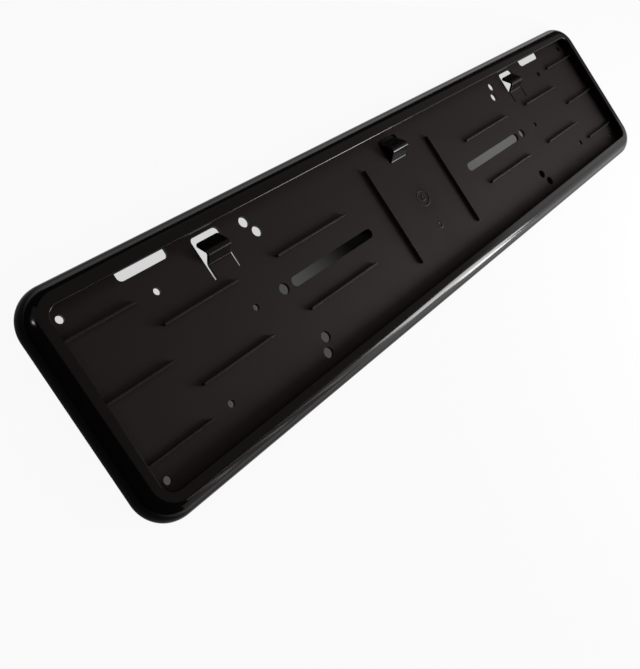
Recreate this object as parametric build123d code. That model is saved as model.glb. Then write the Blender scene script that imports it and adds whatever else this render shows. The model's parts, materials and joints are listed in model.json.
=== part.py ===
from build123d import *
import os
from math import sqrt

# A car number plate holder, moulded in one piece, lying on its back.
# X runs along the plate, Y up the plate and Z out of the front. Sizes are in millimetres.

# Number plate that the holder takes, and the room round it
plate_length = 520.0
plate_height = 112.0
plate_end_clearance = 2.3
plate_edge_clearance = 0.2

# Back panel, which stands clear of the surface that the rim's foot rests on
panel_thickness = 2.0
panel_standoff = 1.4

# Rim: a wall round the plate, a lip over its edge, a flat band on the lip and a rounded flank
pocket_corner_radius = 14.2
wall = 1.8
lip_overlap = 7.6
lip_thickness = 2.0
lip_edge_radius = 0.6
rim_rise = 7.6
band_width = 5.2
flank_width = 7.6
flank_radius = 12.0
foot_radius = 0.8

# Support ribs: three at each end, then two pairs on each half
rib_width = 1.4
rib_height = 2.4
rib_top_radius = 0.4
end_rib_length = 41.4
end_rib_pitch = 33.2
outer_rib_length = 49.4
outer_rib_start = 158.2
inner_rib_length = 59.2
inner_rib_start = 68.8
rib_pair_pitch = 34.2

# Upright bars on each side of the middle
bar_offset = 34.5
bar_length = 67.4

# Spring tongues near the top, each in an opening. The apex is where a tongue's ramp and back would meet
# above the panel, before the ridge is rounded.
tongue_offset = 159.1
tongue_width = 15.9
tongue_thickness = 1.6
tongue_apex = 6.3
tongue_root_length = 8.2
tongue_ramp_length = 4.9
tongue_back_length = 7.8
tongue_bend_radius = 1.5
tongue_ridge_radius = 2.4
tongue_slit = 1.6
tongue_tip_gap = 3.6
tongue_tip_radius = 1.2
tongue_below_lip = 1.2
opening_corner_radius = 2.6

# Stiff catch between the tongues: as thick, a little wider and taller, and with no slits beside its root
catch_width = 16.2
catch_apex = 7.8
catch_ramp_length = 5.7
catch_back_length = 8.3
catch_ridge_radius = 2.0
catch_tip_gap = 2.2
catch_below_lip = 2.7

# Core slots, which reach in under the top lip
core_slot_length = 30.6
core_slot_height = 7.0
core_slot_inset = 40.4
core_slot_under_lip = 3.0
core_slot_corner_radius = 2.6

# Long screw slots on the middle line
screw_slot_length = 71.9
screw_slot_width = 6.0
screw_slot_offset = 92.4

# Screw holes
slot_end_hole_radius = 3.3
slot_end_hole_offset = 134.9
middle_hole_radius = 1.9
middle_hole_offset = 156.8
wide_hole_radius = 2.0
wide_hole_spacing_x = 400.0
wide_hole_spacing_y = 65.3
corner_hole_radius = 2.1
corner_hole_inset_x = 6.6
corner_hole_inset_y = 5.5
pair_hole_radius = 3.2
pair_outer_hole_offset = 133.3
pair_outer_hole_inset = 6.6
pair_inner_hole_offset = 129.0
pair_inner_hole_inset = 14.3

# Gate mark in the middle of the panel, and the ejector pin's mark below it
gate_radius = 5.2
gate_core_radius = 1.4
gate_depth = 0.3
pin_mark_radius = 1.4
pin_mark_drop = 20.7

# Sizes and levels that follow from those above
pocket_length = plate_length + 2 * plate_end_clearance
pocket_height = plate_height + 2 * plate_edge_clearance
half_length = pocket_length / 2 - lip_overlap
half_height = pocket_height / 2 - lip_overlap
lip_corner_radius = pocket_corner_radius - lip_overlap
rim_reach = band_width + flank_width
panel_front = panel_standoff + panel_thickness
front_level = panel_front + rim_rise
lip_underside = front_level - lip_thickness
tongue_opening_top = half_height - tongue_below_lip
tongue_tip = tongue_opening_top - tongue_tip_gap
tongue_ridge = tongue_tip - tongue_back_length
tongue_bend = tongue_ridge - tongue_ramp_length
tongue_root = tongue_bend - tongue_root_length
catch_opening_top = half_height - catch_below_lip
catch_tip = catch_opening_top - catch_tip_gap
catch_ridge = catch_tip - catch_back_length
catch_bend = catch_ridge - catch_ramp_length


def rim_core(flank_centre):
    """Groove in the back of the rim, which leaves an even wall behind the flank."""
    inner_radius = flank_radius - wall
    groove_side = lip_overlap + wall
    behind_flank = Pos(flank_centre.X, flank_centre.Y) * Circle(inner_radius)
    beside_pocket = Pos(groove_side + inner_radius, 0) * Rectangle(2 * inner_radius, 2 * (lip_underside - wall))
    return behind_flank & beside_pocket


def rim_section():
    """Rim section: X is the distance outwards from the lip's edge, Y the height above the back."""
    band_edge = Vector(band_width, front_level)
    foot = Vector(rim_reach, 0)
    chord = foot - band_edge
    inwards = Vector(chord.Y, -chord.X).normalized()
    flank_centre = (band_edge + foot) / 2 + inwards * sqrt(flank_radius**2 - chord.length**2 / 4)
    sides = Polyline(
        foot,
        (lip_overlap, 0),
        (lip_overlap, lip_underside),
        (0, lip_underside),
        (0, front_level),
        band_edge,
    )
    flank = RadiusArc(band_edge, foot, flank_radius)
    section = make_face(sides + flank)
    lip_corners = section.vertices().group_by(Axis.X)[0]
    section = fillet(lip_corners.sort_by(Axis.Y)[-1], lip_edge_radius)
    section = fillet(section.vertices().sort_by(Axis.X)[-1], foot_radius)
    return section - rim_core(flank_centre)


def rim():
    """The rim section, run along the four sides and turned round the four corners."""
    section = Plane.XZ * rim_section()
    corner = revolve(Pos(lip_corner_radius, 0, 0) * section, Axis.Z, 90)
    corner_x = half_length - lip_corner_radius
    corner_y = half_height - lip_corner_radius
    end_run = extrude(section, corner_y, both=True)
    long_run = extrude(section, corner_x, both=True)
    pieces = []
    for half_turn in (0, 180):
        turn = Rot(0, 0, half_turn)
        pieces.append(turn * Pos(half_length, 0, 0) * end_run)
        pieces.append(turn * Pos(0, half_height, 0) * Rot(0, 0, 90) * long_run)
        pieces.append(turn * Pos(corner_x, corner_y, 0) * corner)
        pieces.append(turn * Pos(-corner_x, corner_y, 0) * Rot(0, 0, 90) * corner)
    return pieces


def panel():
    """Back panel, let half-way into the rim's wall."""
    outline = RectangleRounded(pocket_length + wall, pocket_height + wall, pocket_corner_radius + wall / 2)
    return Pos(0, 0, panel_standoff) * extrude(outline, panel_thickness)


def rib(length):
    """One rib on the panel, along X from the origin, with its two long top edges rounded."""
    body = Pos(length / 2, 0, panel_front) * Box(
        length, rib_width, rib_height, align=(Align.CENTER, Align.CENTER, Align.MIN)
    )
    top_edges = body.faces().sort_by(Axis.Z)[-1].edges()
    return fillet(top_edges.filter_by(Axis.X), rib_top_radius)


def ribs():
    """All ribs and both upright bars."""
    end_rib = rib(end_rib_length + lip_overlap + wall / 2)
    outer_rib = rib(outer_rib_length)
    inner_rib = rib(inner_rib_length)
    bar = Pos(bar_offset, -bar_length / 2, 0) * Rot(0, 0, 90) * rib(bar_length)
    pieces = []
    for half_turn in (0, 180):
        turn = Rot(0, 0, half_turn)
        pieces.append(turn * bar)
        for row in (-1, 0, 1):
            pieces.append(turn * Pos(half_length - end_rib_length, row * end_rib_pitch, 0) * end_rib)
        for side in (-0.5, 0.5):
            pieces.append(turn * Pos(outer_rib_start, side * rib_pair_pitch, 0) * outer_rib)
            pieces.append(turn * Pos(inner_rib_start, side * rib_pair_pitch, 0) * inner_rib)
    return pieces


def through(outline):
    """Cutter of the given outline, as deep as the panel."""
    return Pos(0, 0, panel_standoff) * extrude(outline, panel_thickness)


def strip(width, root, bend, ridge, tip, apex, ridge_radius):
    """Strip that leaves the panel at its root, goes up a ramp, over the ridge and back down to its tip."""
    front = FilletPolyline(
        (root - tongue_thickness, panel_front),
        (bend, panel_front),
        (ridge, panel_front + apex),
        (tip, panel_front),
        radius=(tongue_bend_radius, ridge_radius),
    )
    side = make_face(offset(front, tongue_thickness, side=Side.RIGHT))
    body = extrude(Plane.YZ * side, width / 2, both=True)
    tip_edges = body.faces().sort_by(Axis.Y)[-1].edges()
    return fillet(tip_edges.filter_by(Axis.X, reverse=True), tongue_tip_radius)


def opening(width, bottom, top):
    """Opening round a strip, with its top corners rounded."""
    outline = Pos(0, (bottom + top) / 2) * Rectangle(width + 2 * tongue_slit, top - bottom)
    return through(fillet(outline.vertices().group_by(Axis.Y)[-1], opening_corner_radius))


def holes(radius, x, y):
    """Round holes at plus and minus x, and at plus and minus y where y isn't nought."""
    rows = (-y, y) if y else (0,)
    return [through(Pos(side * x, row) * Circle(radius)) for side in (-1, 1) for row in rows]


def screw_holes():
    """Every round screw hole in the panel."""
    corner_x = half_length - corner_hole_inset_x
    corner_y = half_height - corner_hole_inset_y
    cuts = holes(slot_end_hole_radius, slot_end_hole_offset, 0)
    cuts += holes(middle_hole_radius, middle_hole_offset, 0)
    cuts += holes(wide_hole_radius, wide_hole_spacing_x / 2, wide_hole_spacing_y / 2)
    cuts += holes(corner_hole_radius, corner_x, corner_y)
    cuts += holes(pair_hole_radius, pair_outer_hole_offset, half_height - pair_outer_hole_inset)
    cuts += holes(pair_hole_radius, pair_inner_hole_offset, half_height - pair_inner_hole_inset)
    return cuts


def slots():
    """The two long screw slots and the two core slots."""
    core_slot = RectangleRounded(core_slot_length, core_slot_height, core_slot_corner_radius)
    core_slot_x = half_length - core_slot_inset - core_slot_length / 2
    core_slot_y = half_height + core_slot_under_lip - core_slot_height / 2
    screw_slot = SlotOverall(screw_slot_length, screw_slot_width)
    cuts = []
    for side in (-1, 1):
        cuts.append(through(Pos(side * core_slot_x, core_slot_y) * core_slot))
        cuts.append(through(Pos(side * screw_slot_offset, 0) * screw_slot))
    return cuts


def moulding_marks():
    """The gate's shallow ring and the pin's round mark, in the front of the panel."""
    marks = Circle(gate_radius) - Circle(gate_core_radius)
    marks += Pos(0, -pin_mark_drop) * Circle(pin_mark_radius)
    return Pos(0, 0, panel_front - gate_depth) * extrude(marks, gate_depth)


def plate_holder():
    """The whole moulding."""
    body = panel() + rim() + ribs()
    body -= screw_holes() + slots() + [moulding_marks()]
    body -= opening(catch_width, catch_bend, catch_opening_top)
    body += strip(catch_width, catch_bend, catch_bend, catch_ridge, catch_tip, catch_apex, catch_ridge_radius)
    tongue_opening = opening(tongue_width, tongue_root, tongue_opening_top)
    tongue = strip(
        tongue_width, tongue_root, tongue_bend, tongue_ridge, tongue_tip, tongue_apex, tongue_ridge_radius
    )
    for side in (-1, 1):
        body -= Pos(side * tongue_offset, 0, 0) * tongue_opening
        body += Pos(side * tongue_offset, 0, 0) * tongue
    return body


os.makedirs("parts", exist_ok=True)
holder = plate_holder()
holder.label = "plate_holder"
export_step(holder, "parts/plate_holder.step")
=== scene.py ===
"""Looks of a car number plate holder: one black moulding, grained on its panel and polished on its rim."""
import json
from math import atan2, cos, pi, radians, sin, sqrt, tan

import bpy
from mathutils import Matrix, Vector


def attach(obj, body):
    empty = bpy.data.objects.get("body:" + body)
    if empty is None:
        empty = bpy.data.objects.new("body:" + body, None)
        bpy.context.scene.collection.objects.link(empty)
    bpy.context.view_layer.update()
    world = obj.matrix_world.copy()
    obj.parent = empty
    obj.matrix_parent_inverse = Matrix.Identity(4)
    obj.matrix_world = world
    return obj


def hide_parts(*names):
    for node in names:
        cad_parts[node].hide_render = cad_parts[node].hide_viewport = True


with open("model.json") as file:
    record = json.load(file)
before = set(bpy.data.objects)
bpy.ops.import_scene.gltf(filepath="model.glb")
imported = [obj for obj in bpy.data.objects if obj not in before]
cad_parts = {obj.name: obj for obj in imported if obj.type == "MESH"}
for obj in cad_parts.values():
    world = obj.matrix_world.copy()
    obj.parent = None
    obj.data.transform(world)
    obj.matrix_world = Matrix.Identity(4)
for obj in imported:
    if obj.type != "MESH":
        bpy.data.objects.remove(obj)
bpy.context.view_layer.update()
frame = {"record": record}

# Lengths are in metres, so a size in millimetres is written times MM
MM = 0.001

# Plate that the holder takes, the room round it, and the panel behind it
PLATE_LENGTH = 520.0 * MM
PLATE_HEIGHT = 112.0 * MM
PLATE_END_CLEARANCE = 2.3 * MM
PLATE_EDGE_CLEARANCE = 0.2 * MM
PANEL_THICKNESS = 2.0 * MM
PANEL_STANDOFF = 1.4 * MM

# Rim: wall, lip, flat band and rounded flank
POCKET_CORNER_RADIUS = 14.2 * MM
WALL = 1.8 * MM
LIP_OVERLAP = 7.6 * MM
LIP_THICKNESS = 2.0 * MM
LIP_EDGE_RADIUS = 0.9 * MM
RIM_RISE = 7.6 * MM
BAND_WIDTH = 5.2 * MM
FLANK_WIDTH = 7.6 * MM
FLANK_RADIUS = 12.0 * MM
CREASE_RADIUS = 7.0 * MM
FOOT_RADIUS = 0.8 * MM

# Ribs and upright bars
RIB_WIDTH = 1.4 * MM
RIB_HEIGHT = 2.4 * MM
RIB_TOP_RADIUS = 0.4 * MM
RIB_SUNK = 1.0 * MM
END_RIB_LENGTH = 41.4 * MM
END_RIB_PITCH = 33.2 * MM
OUTER_RIB_LENGTH = 49.4 * MM
OUTER_RIB_START = 158.2 * MM
INNER_RIB_LENGTH = 59.2 * MM
INNER_RIB_START = 68.8 * MM
RIB_PAIR_PITCH = 34.2 * MM
BAR_OFFSET = 34.5 * MM
BAR_LENGTH = 67.4 * MM

# Spring tongues, and the catch between them
TONGUE_OFFSET = 159.1 * MM
TONGUE_WIDTH = 15.9 * MM
TONGUE_THICKNESS = 1.6 * MM
TONGUE_EDGE_RADIUS = 0.3 * MM
TONGUE_SUNK = 0.02 * MM
TONGUE_APEX = 6.3 * MM
TONGUE_ROOT_LENGTH = 8.2 * MM
TONGUE_RAMP_LENGTH = 4.9 * MM
TONGUE_BACK_LENGTH = 7.8 * MM
TONGUE_BEND_RADIUS = 1.5 * MM
TONGUE_RIDGE_RADIUS = 2.4 * MM
TONGUE_SLIT = 1.6 * MM
TONGUE_TIP_GAP = 3.6 * MM
TONGUE_TIP_RADIUS = 1.2 * MM
TONGUE_BELOW_LIP = 1.2 * MM
CATCH_WIDTH = 16.2 * MM
CATCH_APEX = 7.8 * MM
CATCH_RAMP_LENGTH = 5.7 * MM
CATCH_BACK_LENGTH = 8.3 * MM
CATCH_RIDGE_RADIUS = 2.0 * MM
CATCH_TIP_GAP = 2.2 * MM
CATCH_BELOW_LIP = 2.7 * MM
OPENING_CORNER_RADIUS = 2.6 * MM

# Core slots, which reach in under the top lip
CORE_SLOT_LENGTH = 30.6 * MM
CORE_SLOT_HEIGHT = 7.0 * MM
CORE_SLOT_INSET = 40.4 * MM
CORE_SLOT_UNDER_LIP = 3.0 * MM
CORE_SLOT_CORNER_RADIUS = 2.6 * MM

# Shallow marks that the gate and an ejector pin left on the panel
GATE_RADIUS = 5.2 * MM
GATE_CORE_RADIUS = 1.4 * MM
GATE_DEPTH = 0.3 * MM
PIN_MARK_RADIUS = 1.4 * MM
PIN_MARK_DROP = 20.7 * MM
BURR_WIDTH = 0.9 * MM
BURR_HEIGHT = 0.25 * MM

# Fineness of the round stretches
CORNER_STEPS = 24
SECTION_STEPS = 20
FILLET_STEPS = 5
EDGE_STEPS = 3
HOLE_STEPS = 40
BEND_STEPS = 8
SHARP_ANGLE = radians(30)

# Points closer than this are merged
MERGE_DISTANCE = 0.001 * MM

# Distance by which a finish's border clears the surface that it follows
BORDER_MARGIN = 0.01 * MM

# Share of a slot's half width that its ends are rounded by, which keeps their arcs just apart
SLOT_END_SHARE = 0.999

# Levels and half sizes that follow from those above
PANEL_FRONT = PANEL_STANDOFF + PANEL_THICKNESS
FRONT_LEVEL = PANEL_FRONT + RIM_RISE
LIP_UNDERSIDE = FRONT_LEVEL - LIP_THICKNESS
POCKET_LENGTH = PLATE_LENGTH + 2 * PLATE_END_CLEARANCE
POCKET_HEIGHT = PLATE_HEIGHT + 2 * PLATE_EDGE_CLEARANCE
HALF_LENGTH = POCKET_LENGTH / 2 - LIP_OVERLAP
HALF_HEIGHT = POCKET_HEIGHT / 2 - LIP_OVERLAP
LIP_CORNER_RADIUS = POCKET_CORNER_RADIUS - LIP_OVERLAP
RIM_REACH = BAND_WIDTH + FLANK_WIDTH

# Camera of the photograph, whose frame is 640 by 669 pixels
CAMERA_PLACE = Vector((-378.0, 2.25, 327.6)) * MM
CAMERA_AIM = Vector((-120.9, -18.7, 3.4)) * MM
CAMERA_ROLL = radians(60.65)
CAMERA_LENS = 40.45
CAMERA_SHIFT = -0.0426
CAMERA_CLIP = 0.01

# Stage: a floor that glows a share of the way to white, and a dim room
FLOOR_SIZE = 8.0
FLOOR_GLOW = 0.93
FLOOR_COLOUR = (0.9, 0.9, 0.9, 1)
WORLD_LEVEL = 0.02

# Floor under the holder, with painted light and shade in place of its shadow and of the light that leaks
# under it: a glow that is bright towards the top edge and away from the middle, dim elsewhere and dimmest
# on the left, dark paint, and painted shadow round some spots, each with the distances between which it
# clears
UNDER_PAINTED_SHADE = (0.015, 0.014, 0.014, 1)
UNDER_EDGE = 10.0 * MM
UNDER_PAINTED_LIGHT = 0.66
UNDER_PAINTED_DIM_LIGHT = (0.07, 0.13)
DIM_FROM_X = (0.0, 100.0 * MM)
BRIGHT_FROM_Y = (12.0 * MM, 33.0 * MM)
BRIGHT_FROM_X = (40.0 * MM, 110.0 * MM)
PAINTED_SHADOW_SPOTS = (
    (Vector((-35.0, 15.0, 0)) * MM, 40.0 * MM, 100.0 * MM),
    (Vector((137.0, -39.0, 0)) * MM, 10.0 * MM, 30.0 * MM),
    (Vector((206.0, 33.0, 0)) * MM, 6.0 * MM, 12.0 * MM),
    (Vector((255.0, 44.0, 0)) * MM, 8.0 * MM, 14.0 * MM),
)

# Patches in which the plastic's tone and gloss drift, and its grain. Noise scales are per metre.
BLOTCH_SCALE = 60.0
BLOTCH_DETAIL = 4.0
GRAIN_DETAIL = 3.0

# Panel: a duller field and an uneven blush round the gate, each with the distances over which it fades,
# and burrs that are smoother than the rest
PANEL_ROUGHNESS = (0.59, 0.67)
PANEL_GRAIN_SCALE = 1800.0
PANEL_GRAIN_DEPTH = 0.02 * MM
FIELD_ROUGHNESS = 0.07
FIELD_FADE = (22.0 * MM, 60.0 * MM)
BLUSH_ROUGHNESS = 0.14
BLUSH_FADE = (6.0 * MM, 17.0 * MM)
BLUSH_SCALE = 160.0
BLUSH_DETAIL = 2.0
BURR_POLISH = 0.2

# Tongues and catch
STRIP_ROUGHNESS = (0.14, 0.19)
STRIP_GRAIN_SCALE = 1500.0
STRIP_GRAIN_DEPTH = 0.002 * MM

# Rim, which turns from dull to polished between two heights
RIM_ROUGHNESS = (0.09, 0.15)
RIM_GRAIN_SCALE = 250.0
RIM_GRAIN_DEPTH = 0.004 * MM
FOOT_SPECULAR = 0.012
RIM_SPECULAR = 0.28
POLISHED_FROM = (6.5 * MM, 9.5 * MM)

# Tints of the lamps
WALL_TINT = (1.0, 0.86, 0.8)
BACK_WALL_TINT = (1.0, 0.93, 0.9)
WINDOW_TINT = (1.0, 0.92, 0.88)
SKY_TINT = (0.75, 0.85, 1.0)

scene = bpy.context.scene


class Nodes:
    """A node tree under construction. A socket is linked, and any other value is set on the socket."""

    def __init__(self, tree):
        self.tree = tree

    def feed(self, socket, value):
        if isinstance(value, bpy.types.NodeSocket):
            self.tree.links.new(value, socket)
        elif isinstance(value, list):
            for part in value:
                self.tree.links.new(part, socket)
        else:
            socket.default_value = value

    def add(self, kind, inputs=None, **settings):
        node = self.tree.nodes.new(kind)
        for name, value in settings.items():
            setattr(node, name, value)
        for key, value in (inputs or {}).items():
            self.feed(node.inputs[key], value)
        return node

    def math(self, operation, *values):
        return self.add("ShaderNodeMath", dict(enumerate(values)), operation=operation).outputs[0]

    def vector_math(self, operation, *values):
        node = self.add("ShaderNodeVectorMath", dict(enumerate(values)), operation=operation)
        return node.outputs["Value" if operation == "LENGTH" else "Vector"]

    def between(self, value, low, high, from_low=0.0, from_high=1.0):
        """Value, taken from one range to another with soft ends."""
        node = self.add("ShaderNodeMapRange", {
            "Value": value, "From Min": from_low, "From Max": from_high, "To Min": low, "To Max": high},
            interpolation_type="SMOOTHSTEP")
        return node.outputs["Result"]

    def from_lip(self, place):
        """Distance outwards from the lip's edge, in plan."""
        core = (HALF_LENGTH - LIP_CORNER_RADIUS, HALF_HEIGHT - LIP_CORNER_RADIUS, 1)
        past_core = self.vector_math("SUBTRACT", self.vector_math("ABSOLUTE", place), core)
        from_core = self.vector_math("LENGTH", self.vector_math("MAXIMUM", past_core, (0, 0, 0)))
        return self.math("SUBTRACT", from_core, LIP_CORNER_RADIUS)


class ShapeTree(Nodes):
    """A Geometry Nodes tree with the object's own geometry and named sizes as its inputs."""

    KINDS = {"number": "NodeSocketFloat", "count": "NodeSocketInt", "object": "NodeSocketObject",
             "material": "NodeSocketMaterial"}

    def __init__(self, name, **inputs):
        super().__init__(bpy.data.node_groups.new(name, "GeometryNodeTree"))
        face = self.tree.interface
        face.new_socket("Geometry", in_out="INPUT", socket_type="NodeSocketGeometry")
        for label, kind in inputs.items():
            face.new_socket(label, in_out="INPUT", socket_type=self.KINDS[kind])
        face.new_socket("Geometry", in_out="OUTPUT", socket_type="NodeSocketGeometry")
        self.given = self.add("NodeGroupInput").outputs

    def attribute(self, name, data_type):
        node = self.add("GeometryNodeInputNamedAttribute", {"Name": name}, data_type=data_type)
        return node.outputs["Attribute"]

    def geometry_of(self, label):
        node = self.add("GeometryNodeObjectInfo", {"Object": self.given[label]})
        return node.outputs["Geometry"]

    def finish(self, geometry, material):
        """Ends the tree: instances become real geometry with the given material."""
        real = self.add("GeometryNodeRealizeInstances", {"Geometry": geometry}).outputs[0]
        painted = self.add("GeometryNodeSetMaterial", {"Geometry": real, "Material": material}).outputs[0]
        self.add("NodeGroupOutput", {"Geometry": painted})
        return self.tree


def link(name, data):
    """A new object in the scene."""
    made = bpy.data.objects.new(name, data)
    scene.collection.objects.link(made)
    return made


def shaped(name, base, tree, bevel=None, flat_first=False, **values):
    """Plain mesh that the tree makes of the base mesh, with the tree's inputs set by their identifiers.

    Bevel rounds every edge. With flat_first, large flat faces keep their flat shading beside small
    round ones.
    """
    worker = link(name, base)
    modifier = worker.modifiers.new("shape", "NODES")
    modifier.node_group = tree
    for item in tree.interface.items_tree:
        if item.name in values:
            modifier[item.identifier] = values[item.name]
    if bevel:
        rounding = worker.modifiers.new("rounding", "BEVEL")
        rounding.width = bevel
        rounding.segments = EDGE_STEPS
    if flat_first:
        shading = worker.modifiers.new("shading", "WEIGHTED_NORMAL")
        shading.keep_sharp = True
    graph = bpy.context.evaluated_depsgraph_get()
    mesh = bpy.data.meshes.new_from_object(worker.evaluated_get(graph), depsgraph=graph)
    bpy.data.objects.remove(worker)
    return mesh


def point_mesh(name, points, edges=(), **attributes):
    """Mesh of bare points, with an attribute on each point for what differs between them."""
    mesh = bpy.data.meshes.new(name)
    mesh.from_pydata(points, edges, [])
    for label, values in attributes.items():
        is_vector = isinstance(values[0], (tuple, Vector))
        attribute = mesh.attributes.new(label, "FLOAT_VECTOR" if is_vector else "FLOAT", "POINT")
        for item, value in zip(attribute.data, values):
            if is_vector:
                item.vector = value
            else:
                item.value = value
    return mesh


def outline_curve(name, outlines):
    """Curve object with one closed straight-sided spline for each outline."""
    curve = bpy.data.curves.new(name, "CURVE")
    curve.dimensions = "3D"
    for outline in outlines:
        spline = curve.splines.new("POLY")
        spline.points.add(len(outline) - 1)
        for point, (x, y) in zip(spline.points, outline):
            point.co = (x, y, 0, 1)
        spline.use_cyclic_u = True
    return link(name, curve)


def arc(centre, radius, start, end, steps):
    """Points on an arc, with both its ends."""
    angles = [start + (end - start) * step / steps for step in range(steps + 1)]
    return [centre + radius * Vector((cos(angle), sin(angle))) for angle in angles]


def rounded_corner(before, corner, after, radius, steps=FILLET_STEPS):
    """Points on the arc that rounds a corner between two straight legs."""
    to_before = (before - corner).normalized()
    to_after = (after - corner).normalized()
    half_angle = to_before.angle(to_after) / 2
    centre = corner + (to_before + to_after).normalized() * radius / sin(half_angle)
    first = corner + to_before * radius / tan(half_angle) - centre
    last = corner + to_after * radius / tan(half_angle) - centre
    start = atan2(first.y, first.x)
    turn = (atan2(last.y, last.x) - start + pi) % (2 * pi) - pi
    return arc(centre, radius, start, start + turn, steps)


def rounded_rectangle(centre, length, height, bottom_radius, top_radius):
    """Outline of a rectangle with its two lower and its two upper corners rounded."""
    x, y = length / 2, height / 2
    corners = [centre + Vector(place) for place in ((-x, -y), (x, -y), (x, y), (-x, y))]
    outline = []
    for index, radius in enumerate((bottom_radius, bottom_radius, top_radius, top_radius)):
        corner = corners[index]
        if radius:
            after = corners[(index + 1) % len(corners)]
            outline += rounded_corner(corners[index - 1], corner, after, radius, BEND_STEPS)
        else:
            outline.append(corner)
    return outline


def rim_section():
    """Outline of the rim's section: X runs outwards from the lip's edge and Y up from the floor."""
    lip_top = Vector((0, FRONT_LEVEL))
    lip_bottom = Vector((0, LIP_UNDERSIDE))
    band_edge = Vector((BAND_WIDTH, FRONT_LEVEL))
    foot = Vector((RIM_REACH, 0))
    chord = foot - band_edge
    inwards = Vector((chord.y, -chord.x)).normalized()
    centre = (band_edge + foot) / 2 + inwards * sqrt(FLANK_RADIUS**2 - chord.length_squared / 4)
    drop = FRONT_LEVEL - CREASE_RADIUS - centre.y
    crease = centre + Vector((sqrt((FLANK_RADIUS - CREASE_RADIUS) ** 2 - drop**2), drop))
    flank_start = atan2(drop, crease.x - centre.x)
    flank_end = atan2(foot.y - centre.y, foot.x - centre.x)
    groove_radius = FLANK_RADIUS - WALL
    groove_side = LIP_OVERLAP + WALL
    groove_foot = -centre.y / groove_radius
    groove_top = atan2(sqrt(groove_radius**2 - (groove_side - centre.x) ** 2), groove_side - centre.x)
    foot_turn = FOOT_RADIUS / FLANK_RADIUS
    section = [Vector((LIP_OVERLAP, 0)), Vector((LIP_OVERLAP, LIP_UNDERSIDE)), lip_bottom]
    section += rounded_corner(lip_bottom, lip_top, band_edge, LIP_EDGE_RADIUS)
    section += arc(crease, CREASE_RADIUS, pi / 2, flank_start, SECTION_STEPS)
    section += arc(centre, FLANK_RADIUS, flank_start, flank_end + foot_turn, SECTION_STEPS)[1:-1]
    section += rounded_corner(section[-1], foot, Vector((0, 0)), FOOT_RADIUS)
    section += arc(centre, groove_radius, groove_foot, groove_top, FILLET_STEPS)
    section.append(Vector((groove_side, 0)))
    return section


def rim_mesh(material):
    """The rim section, swept round the lip's edge. A profile's own Y points down on this path."""
    tree = ShapeTree("swept_rim", Section="object", Length="number", Height="number", Corner="number",
                     Steps="count", Finish="material")
    given = tree.given
    path = tree.add("GeometryNodeCurvePrimitiveQuadrilateral", {
        "Width": given["Length"], "Height": given["Height"]})
    rounded = tree.add("GeometryNodeFilletCurve", {
        "Curve": path.outputs[0], "Count": given["Steps"], "Radius": given["Corner"]}, mode="POLY")
    upright = tree.add("GeometryNodeSetCurveNormal", {"Curve": rounded.outputs[0]}, mode="Z_UP")
    sweep = tree.add("GeometryNodeCurveToMesh", {
        "Curve": upright.outputs[0], "Profile Curve": tree.geometry_of("Section")})
    group = tree.finish(sweep.outputs[0], given["Finish"])
    hanging = [Vector((point.x, -point.y)) for point in rim_section()]
    section = outline_curve("rim_section", [hanging])
    mesh = shaped("rim", bpy.data.meshes.new("rim"), group, Section=section, Length=2 * HALF_LENGTH,
                  Height=2 * HALF_HEIGHT, Corner=LIP_CORNER_RADIUS, Steps=CORNER_STEPS, Finish=material)
    bpy.data.objects.remove(section)
    return mesh


def slab_tree():
    """Slab whose outlines are filled: a round hole or disc on each point, and the curves of an object."""
    tree = ShapeTree("pierced_slab", Outlines="object", Thickness="number", Level="number", Steps="count",
                     Finish="material")
    given = tree.given
    circle = tree.add("GeometryNodeCurvePrimitiveCircle", {"Resolution": given["Steps"], "Radius": 1.0})
    circles = tree.add("GeometryNodeInstanceOnPoints", {
        "Points": given["Geometry"], "Instance": circle.outputs["Curve"],
        "Scale": tree.attribute("radius", "FLOAT")})
    real = tree.add("GeometryNodeRealizeInstances", {"Geometry": circles.outputs[0]})
    outlines = tree.add("GeometryNodeJoinGeometry", {
        "Geometry": [real.outputs[0], tree.geometry_of("Outlines")]})
    filled = tree.add("GeometryNodeFillCurve", {"Curve": outlines.outputs[0]}, mode="TRIANGLES").outputs[0]
    raised = tree.add("GeometryNodeExtrudeMesh", {
        "Mesh": filled, "Offset": (0, 0, 1), "Offset Scale": given["Thickness"], "Individual": False})
    back = tree.add("GeometryNodeFlipFaces", {"Mesh": filled}).outputs[0]
    closed = tree.add("GeometryNodeJoinGeometry", {"Geometry": [raised.outputs["Mesh"], back]})
    merged = tree.add("GeometryNodeMergeByDistance", {
        "Geometry": closed.outputs[0], "Distance": MERGE_DISTANCE})
    lift = tree.add("ShaderNodeCombineXYZ", {"Z": given["Level"]}).outputs[0]
    placed = tree.add("GeometryNodeTransform", {"Geometry": merged.outputs[0], "Translation": lift})
    return tree.finish(placed.outputs[0], given["Finish"])


def mounts():
    """The record's hole patterns, by name."""
    return {mount["name"]: mount["dims"] for mount in frame["record"]["mounts"]}


def pattern_centres(dims):
    """Centres of a hole pattern: two in a row, or four at the corners of a rectangle."""
    x = dims["spacing_x_mm"] * MM / 2
    y = dims.get("spacing_y_mm", 0) * MM / 2
    rows = (-y, y) if y else (0,)
    return [Vector((side * x, row)) for side in (-1, 1) for row in rows]


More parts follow.
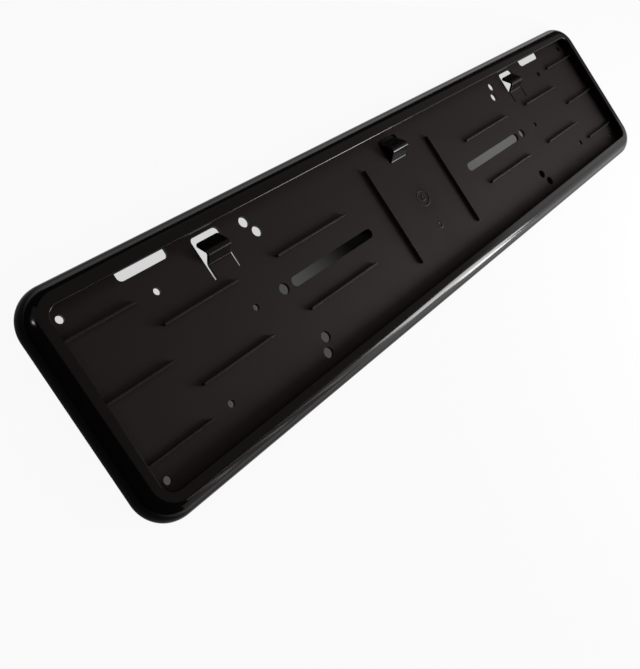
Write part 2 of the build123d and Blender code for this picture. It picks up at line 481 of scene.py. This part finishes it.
def strip_places():
    """Where each strip leaves the panel, bends, has its ridge and ends, and the opening round it."""
    opening_top = HALF_HEIGHT - TONGUE_BELOW_LIP
    tip = opening_top - TONGUE_TIP_GAP
    ridge = tip - TONGUE_BACK_LENGTH
    bend = ridge - TONGUE_RAMP_LENGTH
    root = bend - TONGUE_ROOT_LENGTH
    tongue = {"root": root, "bend": bend, "ridge": ridge, "tip": tip, "top": opening_top,
              "width": TONGUE_WIDTH, "apex": TONGUE_APEX, "ridge_radius": TONGUE_RIDGE_RADIUS}
    opening_top = HALF_HEIGHT - CATCH_BELOW_LIP
    tip = opening_top - CATCH_TIP_GAP
    ridge = tip - CATCH_BACK_LENGTH
    bend = ridge - CATCH_RAMP_LENGTH
    catch = {"root": bend, "bend": bend, "ridge": ridge, "tip": tip, "top": opening_top,
             "width": CATCH_WIDTH, "apex": CATCH_APEX, "ridge_radius": CATCH_RIDGE_RADIUS}
    return [(-TONGUE_OFFSET, tongue), (0, catch), (TONGUE_OFFSET, tongue)]


def panel_outlines():
    """Outlines of the panel, its slots and the openings round the strips."""
    length = POCKET_LENGTH + WALL
    height = POCKET_HEIGHT + WALL
    corner = POCKET_CORNER_RADIUS + WALL / 2
    outlines = [rounded_rectangle(Vector((0, 0)), length, height, corner, corner)]
    for x, strip in strip_places():
        centre = Vector((x, (strip["root"] + strip["top"]) / 2))
        width = strip["width"] + 2 * TONGUE_SLIT
        height = strip["top"] - strip["root"]
        outlines.append(rounded_rectangle(centre, width, height, 0, OPENING_CORNER_RADIUS))
    core_x = HALF_LENGTH - CORE_SLOT_INSET - CORE_SLOT_LENGTH / 2
    core_y = HALF_HEIGHT + CORE_SLOT_UNDER_LIP - CORE_SLOT_HEIGHT / 2
    for side in (-1, 1):
        centre = Vector((side * core_x, core_y))
        outlines.append(rounded_rectangle(centre, CORE_SLOT_LENGTH, CORE_SLOT_HEIGHT,
                                          CORE_SLOT_CORNER_RADIUS, CORE_SLOT_CORNER_RADIUS))
    slot = mounts()["mounting_slots"]
    half_width = slot["hole_r_mm"] * MM
    end_radius = half_width * SLOT_END_SHARE
    for centre in pattern_centres(slot):
        outlines.append(rounded_rectangle(centre, slot["slot_length_mm"] * MM, 2 * half_width,
                                          end_radius, end_radius))
    return outlines


def panel_mesh(slab, material):
    """Back panel with every slot, opening and screw hole."""
    centres = []
    radii = []
    for dims in mounts().values():
        if "hole_r_mm" in dims and "slot_length_mm" not in dims:
            places = pattern_centres(dims)
            centres += [place.to_3d() for place in places]
            radii += [dims["hole_r_mm"] * MM] * len(places)
    outlines = outline_curve("panel_outlines", panel_outlines())
    mesh = shaped("panel", point_mesh("holes", centres, radius=radii), slab, Outlines=outlines,
                  Thickness=PANEL_THICKNESS, Level=PANEL_STANDOFF, Steps=HOLE_STEPS, Finish=material)
    bpy.data.objects.remove(outlines)
    return mesh


def marks_mesh(slab, material):
    """What the gate's ring and the pin's mark take out of the panel's front."""
    centres = [(0, 0, 0), (0, 0, 0), (0, -PIN_MARK_DROP, 0)]
    radii = [GATE_RADIUS, GATE_CORE_RADIUS, PIN_MARK_RADIUS]
    nothing = outline_curve("no_outlines", [])
    mesh = shaped("marks", point_mesh("marks", centres, radius=radii), slab, Outlines=nothing,
                  Thickness=PANEL_THICKNESS, Level=PANEL_FRONT - GATE_DEPTH, Steps=HOLE_STEPS,
                  Finish=material)
    bpy.data.objects.remove(nothing)
    return mesh


def ribs_mesh(material):
    """All ribs and both upright bars, as bars of given sizes on points."""
    tree = ShapeTree("ribs_on_points", Finish="material")
    bar = tree.add("GeometryNodeMeshCube", {"Size": (1, 1, 1)})
    bars = tree.add("GeometryNodeInstanceOnPoints", {
        "Points": tree.given["Geometry"], "Instance": bar.outputs["Mesh"],
        "Scale": tree.attribute("size", "FLOAT_VECTOR")})
    group = tree.finish(bars.outputs[0], tree.given["Finish"])
    height = RIB_HEIGHT + RIB_SUNK
    level = PANEL_FRONT - RIB_SUNK + height / 2
    end_length = END_RIB_LENGTH + LIP_OVERLAP + WALL / 2
    end_x = HALF_LENGTH - END_RIB_LENGTH + end_length / 2
    outer_x = OUTER_RIB_START + OUTER_RIB_LENGTH / 2
    inner_x = INNER_RIB_START + INNER_RIB_LENGTH / 2
    rows = [(BAR_OFFSET, 0, (RIB_WIDTH, BAR_LENGTH, height))]
    for row in (-1, 0, 1):
        rows.append((end_x, row * END_RIB_PITCH, (end_length, RIB_WIDTH, height)))
    for row in (-0.5, 0.5):
        rows.append((outer_x, row * RIB_PAIR_PITCH, (OUTER_RIB_LENGTH, RIB_WIDTH, height)))
        rows.append((inner_x, row * RIB_PAIR_PITCH, (INNER_RIB_LENGTH, RIB_WIDTH, height)))
    places = [(side * x, y, level) for side in (-1, 1) for x, y, size in rows]
    sizes = [size for side in (-1, 1) for x, y, size in rows]
    points = point_mesh("rib_places", places, size=sizes)
    return shaped("ribs", points, group, bevel=RIB_TOP_RADIUS, Finish=material)


def strip_line(strip):
    """Front line of a strip, up its ramp, over its ridge and down to its tip, as Y and height."""
    level = PANEL_FRONT - TONGUE_SUNK
    start = Vector((strip["root"] - TONGUE_THICKNESS, level))
    bend = Vector((strip["bend"], level))
    ridge = Vector((strip["ridge"], PANEL_FRONT + strip["apex"]))
    tip = Vector((strip["tip"], PANEL_FRONT))
    line = [start]
    line += rounded_corner(start, bend, ridge, TONGUE_BEND_RADIUS, BEND_STEPS)
    line += rounded_corner(bend, ridge, tip, strip["ridge_radius"], BEND_STEPS)
    for step in range(BEND_STEPS + 1):
        from_tip = TONGUE_TIP_RADIUS * (1 - sin(pi / 2 * step / BEND_STEPS))
        line.append(tip + (ridge - tip).normalized() * from_tip)
    return line


def strips_mesh(material):
    """Both spring tongues and the catch: strips swept along bent front lines, narrower at their tips."""
    tree = ShapeTree("bent_strips", Width="number", Thickness="number", Edge="number", Finish="material")
    given = tree.given
    lines = tree.add("GeometryNodeMeshToCurve", {"Mesh": given["Geometry"]})
    upright = tree.add("GeometryNodeSetCurveNormal", {"Curve": lines.outputs[0]}, mode="Z_UP")
    flat = tree.add("GeometryNodeCurvePrimitiveQuadrilateral", {
        "Width": given["Width"], "Height": given["Thickness"]})
    soft = tree.add("GeometryNodeFilletCurve", {
        "Curve": flat.outputs[0], "Count": EDGE_STEPS, "Radius": given["Edge"]}, mode="POLY")
    half_down = tree.math("MULTIPLY", given["Thickness"], 0.5)
    behind = tree.add("ShaderNodeCombineXYZ", {"Y": half_down}).outputs[0]
    profile = tree.add("GeometryNodeTransform", {"Geometry": soft.outputs[0], "Translation": behind})
    sweep = tree.add("GeometryNodeCurveToMesh", {
        "Curve": upright.outputs[0], "Profile Curve": profile.outputs[0], "Fill Caps": True})
    place = tree.add("GeometryNodeInputPosition").outputs[0]
    across = tree.add("ShaderNodeSeparateXYZ", {"Vector": place}).outputs["X"]
    side = tree.math("SIGN", tree.math("SUBTRACT", tree.attribute("middle", "FLOAT"), across))
    inwards = tree.add("ShaderNodeCombineXYZ", {
        "X": tree.math("MULTIPLY", side, tree.attribute("narrower", "FLOAT"))}).outputs[0]
    narrowed = tree.add("GeometryNodeSetPosition", {"Geometry": sweep.outputs[0], "Offset": inwards})
    group = tree.finish(narrowed.outputs[0], given["Finish"])
    points = []
    edges = []
    middles = []
    narrower = []
    for x, strip in strip_places():
        line = strip_line(strip)
        edges += [(len(points) + step, len(points) + step + 1) for step in range(len(line) - 1)]
        points += [(x, point.x, point.y) for point in line]
        middles += [x] * len(line)
        for point in line:
            short = max(TONGUE_TIP_RADIUS - (point - line[-1]).length, 0)
            rounding = TONGUE_TIP_RADIUS - sqrt(TONGUE_TIP_RADIUS**2 - short**2)
            narrower.append((CATCH_WIDTH - strip["width"]) / 2 + rounding)
    lines = point_mesh("strip_lines", points, edges, middle=middles, narrower=narrower)
    return shaped("strips", lines, group, Width=CATCH_WIDTH, Thickness=TONGUE_THICKNESS,
                  Edge=TONGUE_EDGE_RADIUS, Finish=material)


def moulding(grain, smooth_grain, gloss):
    """One closed mesh of the whole holder, with the finishes of its panel, strips and rim."""
    slab = slab_tree()
    solids = {"Rim": rim_mesh(grain), "Panel": panel_mesh(slab, grain), "Ribs": ribs_mesh(grain),
              "Strips": strips_mesh(grain), "Marks": marks_mesh(slab, grain)}
    workers = {label: link(label, mesh) for label, mesh in solids.items()}
    (_, tongue), (_, catch), _ = strip_places()
    tree = ShapeTree("one_moulding", Rim="object", Panel="object", Ribs="object", Strips="object",
                     Marks="object", Sharp="number", Wall="number", Underside="number",
                     Strip_Offset="number", Strip_Reach="number", Strip_Start="number",
                     Strip_End="number", Grain="material", Smooth="material", Gloss="material")
    given = tree.given
    parts = [tree.geometry_of(label) for label in ("Rim", "Panel", "Ribs", "Strips")]
    joined = tree.add("GeometryNodeMeshBoolean", {"Mesh 2": parts}, operation="UNION", solver="MANIFOLD")
    marked = tree.add("GeometryNodeMeshBoolean", {
        "Mesh 1": joined.outputs["Mesh"], "Mesh 2": tree.geometry_of("Marks")},
        operation="DIFFERENCE", solver="MANIFOLD")
    smooth = tree.add("GeometryNodeSetShadeSmooth", {"Geometry": marked.outputs["Mesh"]}, domain="FACE")
    angle = tree.add("GeometryNodeInputMeshEdgeAngle").outputs["Unsigned Angle"]
    is_sharp = tree.math("GREATER_THAN", angle, given["Sharp"])
    edged = tree.add("GeometryNodeSetShadeSmooth", {
        "Geometry": smooth.outputs[0], "Selection": is_sharp, "Shade Smooth": False}, domain="EDGE")
    place = tree.add("GeometryNodeInputPosition").outputs[0]
    outwards = tree.from_lip(place)
    axes = tree.add("ShaderNodeSeparateXYZ", {"Vector": place}).outputs
    along = tree.math("ABSOLUTE", axes["X"])
    from_tongue = tree.math("ABSOLUTE", tree.math("SUBTRACT", along, given["Strip_Offset"]))
    beside_strip = tree.math("LESS_THAN", tree.math("MINIMUM", along, from_tongue), given["Strip_Reach"])
    past_start = tree.math("GREATER_THAN", axes["Y"], given["Strip_Start"])
    before_end = tree.math("LESS_THAN", axes["Y"], given["Strip_End"])
    is_strip = tree.math("MULTIPLY", beside_strip, tree.math("MULTIPLY", past_start, before_end))
    on_lip = tree.math("GREATER_THAN", axes["Z"], given["Underside"])
    past_lip = tree.math("GREATER_THAN", outwards, -BORDER_MARGIN)
    past_wall = tree.math("GREATER_THAN", outwards, given["Wall"])
    is_rim = tree.math("MAXIMUM", tree.math("MULTIPLY", on_lip, past_lip), past_wall)
    grained = tree.add("GeometryNodeSetMaterial", {
        "Geometry": edged.outputs[0], "Material": given["Grain"]}).outputs[0]
    stripped = tree.add("GeometryNodeSetMaterial", {
        "Geometry": grained, "Selection": is_strip, "Material": given["Smooth"]}).outputs[0]
    real = tree.add("GeometryNodeRealizeInstances", {"Geometry": stripped}).outputs[0]
    painted = tree.add("GeometryNodeSetMaterial", {
        "Geometry": real, "Selection": is_rim, "Material": given["Gloss"]}).outputs[0]
    tree.add("NodeGroupOutput", {"Geometry": painted})
    mesh = shaped("moulding", bpy.data.meshes.new("moulding"), tree.tree, flat_first=True,
                  Sharp=SHARP_ANGLE, Wall=LIP_OVERLAP + WALL / 2,
                  Underside=LIP_UNDERSIDE + BORDER_MARGIN, Strip_Offset=TONGUE_OFFSET,
                  Strip_Reach=(CATCH_WIDTH + TONGUE_SLIT) / 2, Strip_Start=catch["bend"],
                  Strip_End=tongue["tip"] + TONGUE_THICKNESS, Grain=grain, Smooth=smooth_grain,
                  Gloss=gloss, **workers)
    for worker in workers.values():
        bpy.data.objects.remove(worker)
    return mesh


class Plastic(Nodes):
    """Black plastic whose tone and gloss drift a little over its surface, with a fine grain."""

    def __init__(self, name, dark, light, specular, tint=(1, 1, 1)):
        self.material = bpy.data.materials.new(name)
        self.material.use_nodes = True
        super().__init__(self.material.node_tree)
        self.shader = self.tree.nodes["Principled BSDF"]
        self.shader.inputs["Specular IOR Level"].default_value = specular
        self.shader.inputs["Specular Tint"].default_value = (*tint, 1)
        self.place = self.add("ShaderNodeTexCoord").outputs["Object"]
        self.drift = self.noise(BLOTCH_SCALE, BLOTCH_DETAIL)
        tone = self.add("ShaderNodeMix", {0: self.drift, 6: (*dark, 1), 7: (*light, 1)}, data_type="RGBA")
        self.feed(self.shader.inputs["Base Color"], tone.outputs[2])

    def noise(self, scale, detail):
        node = self.add("ShaderNodeTexNoise", {"Vector": self.place, "Scale": scale, "Detail": detail})
        return node.outputs["Fac"]

    def distance_from(self, x, y):
        """Distance on the panel from a given place."""
        flat = self.vector_math("MULTIPLY", self.place, (1, 1, 0))
        return self.vector_math("LENGTH", self.vector_math("SUBTRACT", flat, (x, y, 0)))

    def ring(self, distance, radius, width):
        """One on a ring round a place, falling to nothing at its inner and outer edge."""
        from_ring = self.math("ABSOLUTE", self.math("SUBTRACT", distance, radius))
        return self.between(from_ring, 1.0, 0.0, 0.0, width)

    def finish(self, roughness, scale, depth, burr=0.0, burr_height=0.0):
        """Sets the gloss, a grain of the given scale and depth, and a burr that stands up from it."""
        self.feed(self.shader.inputs["Roughness"], roughness)
        raised = self.math("MULTIPLY", burr, burr_height / depth)
        height = self.math("ADD", self.noise(scale, GRAIN_DETAIL), raised)
        bump = self.add("ShaderNodeBump", {"Height": height, "Distance": depth, "Strength": 1.0})
        self.feed(self.shader.inputs["Normal"], bump.outputs["Normal"])
        return self.material


def panel_grain():
    """Dull grained plastic of the panel, with a duller field and an uneven blush round the gate."""
    plastic = Plastic("panel_grain", dark=(0.0040, 0.0031, 0.0031), light=(0.0064, 0.0050, 0.0049),
                      specular=0.5, tint=(1.0, 0.83, 0.82))
    drift = plastic.between(plastic.drift, *PANEL_ROUGHNESS)
    from_gate = plastic.distance_from(0, 0)
    field = plastic.between(from_gate, FIELD_ROUGHNESS, 0.0, *FIELD_FADE)
    blush = plastic.between(from_gate, BLUSH_ROUGHNESS, 0.0, *BLUSH_FADE)
    uneven = plastic.math("MULTIPLY", plastic.noise(BLUSH_SCALE, BLUSH_DETAIL), blush)
    from_pin = plastic.distance_from(0, -PIN_MARK_DROP)
    gate_burr = plastic.math("MAXIMUM", plastic.ring(from_gate, GATE_RADIUS, BURR_WIDTH),
                             plastic.ring(from_gate, GATE_CORE_RADIUS, BURR_WIDTH))
    pin_burr = plastic.ring(from_pin, PIN_MARK_RADIUS + BURR_WIDTH / 2, BURR_WIDTH)
    burr = plastic.math("MAXIMUM", gate_burr, pin_burr)
    rough = plastic.math("ADD", plastic.math("ADD", drift, field), uneven)
    polished = plastic.math("SUBTRACT", rough, plastic.math("MULTIPLY", burr, BURR_POLISH))
    return plastic.finish(polished, PANEL_GRAIN_SCALE, PANEL_GRAIN_DEPTH, burr, BURR_HEIGHT)


def strip_grain():
    """Smoother plastic of the tongues and the catch, whose ridges and bends shine."""
    plastic = Plastic("strip_grain", dark=(0.0036, 0.0033, 0.0035), light=(0.0056, 0.0051, 0.0053),
                      specular=0.28, tint=(1.0, 0.95, 0.95))
    drift = plastic.between(plastic.drift, *STRIP_ROUGHNESS)
    return plastic.finish(drift, STRIP_GRAIN_SCALE, STRIP_GRAIN_DEPTH)


def rim_gloss():
    """Polished plastic of the rim, duller towards its foot."""
    plastic = Plastic("rim_gloss", dark=(0.0028, 0.0024, 0.0026), light=(0.0052, 0.0044, 0.0044),
                      specular=RIM_SPECULAR)
    height = plastic.add("ShaderNodeSeparateXYZ", {"Vector": plastic.place}).outputs["Z"]
    shine = plastic.between(height, FOOT_SPECULAR, RIM_SPECULAR, *POLISHED_FROM)
    plastic.feed(plastic.shader.inputs["Specular IOR Level"], shine)
    drift = plastic.between(plastic.drift, *RIM_ROUGHNESS)
    return plastic.finish(drift, RIM_GRAIN_SCALE, RIM_GRAIN_DEPTH)


def floor_material():
    """Pale floor that looks white to the camera and in reflections, and keeps the object's shadow, with
    painted light and shade under the holder.
    """
    material = bpy.data.materials.new("pale_floor")
    material.use_nodes = True
    nodes = Nodes(material.node_tree)
    material.node_tree.nodes.clear()
    path = nodes.add("ShaderNodeLightPath").outputs
    place = nodes.add("ShaderNodeTexCoord").outputs["Object"]
    from_lip = nodes.from_lip(place)
    outside = nodes.math("GREATER_THAN", from_lip, UNDER_EDGE)
    bounced = nodes.math("MAXIMUM", path["Is Glossy Ray"], path["Is Transmission Ray"])
    seen = nodes.math("MAXIMUM", path["Is Camera Ray"], bounced)
    axes = nodes.add("ShaderNodeSeparateXYZ", {"Vector": place}).outputs
    # Painted light under the holder: a glow that is brighter towards the top edge and the ends, and dimmer
    # in the middle
    upwards = nodes.between(axes["Y"], 0.0, 1.0, *BRIGHT_FROM_Y)
    sideways = nodes.between(nodes.math("ABSOLUTE", axes["X"]), 0.0, UNDER_PAINTED_LIGHT, *BRIGHT_FROM_X)
    dim = nodes.between(axes["X"], *UNDER_PAINTED_DIM_LIGHT, *DIM_FROM_X)
    under = nodes.math("MAXIMUM", nodes.math("MULTIPLY", upwards, sideways), dim)
    # Painted shadow round each spot
    for spot, dark_to, clear_from in PAINTED_SHADOW_SPOTS:
        from_shadow_spot = nodes.vector_math("LENGTH", nodes.vector_math("SUBTRACT", place, spot))
        under = nodes.math("MULTIPLY", under, nodes.between(from_shadow_spot, 0.0, 1.0, dark_to, clear_from))
    glow_share = nodes.math("MAXIMUM", nodes.math("MULTIPLY", outside, FLOOR_GLOW), under)
    share = nodes.math("MULTIPLY", seen, glow_share)
    # Painted shade: dark paint under the holder, pale paint outside it
    tone = nodes.add("ShaderNodeMix", {0: outside, 6: UNDER_PAINTED_SHADE, 7: FLOOR_COLOUR}, data_type="RGBA")
    paint = nodes.add("ShaderNodeBsdfDiffuse", {"Color": tone.outputs[2]}).outputs[0]
    glow = nodes.add("ShaderNodeEmission", {"Color": (1, 1, 1, 1), "Strength": 1.0}).outputs[0]
    mixed = nodes.add("ShaderNodeMixShader", {0: share, 1: paint, 2: glow})
    nodes.add("ShaderNodeOutputMaterial", {"Surface": mixed.outputs[0]})
    return material


def floor():
    """Large plain floor under the rim's foot."""
    half = FLOOR_SIZE / 2
    corners = [(-half, -half, 0), (half, -half, 0), (half, half, 0), (-half, half, 0)]
    mesh = bpy.data.meshes.new("floor")
    mesh.from_pydata(corners, [], [(0, 1, 2, 3)])
    mesh.materials.append(floor_material())
    return link("floor", mesh)


def look_at(target, place, aim, roll=0.0):
    """Places a camera or lamp, aims it and turns it about its own axis."""
    turn = (aim - place).to_track_quat("-Z", "Y").to_matrix().to_4x4()
    target.matrix_world = Matrix.Translation(place) @ turn @ Matrix.Rotation(roll, 4, "Z")


def softbox(name, azimuth, elevation, distance, size, level, colour=(1, 1, 1)):
    """Rectangular lamp in a direction from the object, in degrees.

    Level is the share of a white floor's brightness that it gives.
    """
    azimuth, elevation = radians(azimuth), radians(elevation)
    away = Vector((cos(elevation) * cos(azimuth), cos(elevation) * sin(azimuth), sin(elevation)))
    lamp = bpy.data.lights.new(name, "AREA")
    lamp.shape = "RECTANGLE"
    lamp.size, lamp.size_y = size
    lamp.color = colour
    lamp.energy = level * pi * pi * distance**2 / sin(elevation)
    look_at(link(name, lamp), away * distance, Vector((0, 0, 0)))


def lamps():
    """Lamps of the room: a key, tall windows in front, pale walls, and a ceiling that fades outwards."""
    softbox("key", azimuth=-44, elevation=26, distance=0.5, size=(0.2, 0.2), level=0.22)
    softbox("low_key", azimuth=-33, elevation=15, distance=0.9, size=(0.9, 0.8), level=0.055)
    for azimuth in (-41, -51, -60, -68, -75):
        softbox("window", azimuth, elevation=28, distance=1.2, size=(0.04, 0.9), level=0.009,
                colour=WINDOW_TINT)
    softbox("low_window", azimuth=-41, elevation=9, distance=1.2, size=(0.14, 0.22), level=0.015)
    softbox("near_wall", azimuth=-62, elevation=16, distance=2.0, size=(1.8, 1.0), level=0.02,
            colour=WALL_TINT)
    softbox("back_window", azimuth=149, elevation=37, distance=1.5, size=(0.09, 0.35), level=0.05)
    softbox("sky", azimuth=130, elevation=42, distance=2.0, size=(1.0, 1.0), level=0.014,
            colour=SKY_TINT)
    softbox("back_wall", azimuth=0, elevation=34, distance=2.0, size=(2.0, 1.1), level=0.004,
            colour=BACK_WALL_TINT)
    for reach in (1.0, 1.6, 2.2):
        softbox("ceiling", azimuth=30, elevation=62, distance=1.4, size=(reach, reach),
                level=0.034 * reach**2, colour=WALL_TINT)


def room():
    """Dim grey light from all round."""
    world = bpy.data.worlds.new("room")
    world.use_nodes = True
    background = world.node_tree.nodes["Background"].inputs
    background["Color"].default_value = (1, 1, 1, 1)
    background["Strength"].default_value = WORLD_LEVEL
    scene.world = world


def camera():
    """Camera at the photograph's place."""
    data = bpy.data.cameras.new("camera")
    data.lens = CAMERA_LENS
    data.shift_y = CAMERA_SHIFT
    data.clip_start = CAMERA_CLIP
    made = link("camera", data)
    look_at(made, CAMERA_PLACE, CAMERA_AIM, CAMERA_ROLL)
    scene.camera = made


scene.view_settings.view_transform = "Standard"
room()
lamps()

holder = link("holder_moulding", moulding(panel_grain(), strip_grain(), rim_gloss()))
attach(holder, "root")
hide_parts("plate_holder")
floor()
camera()
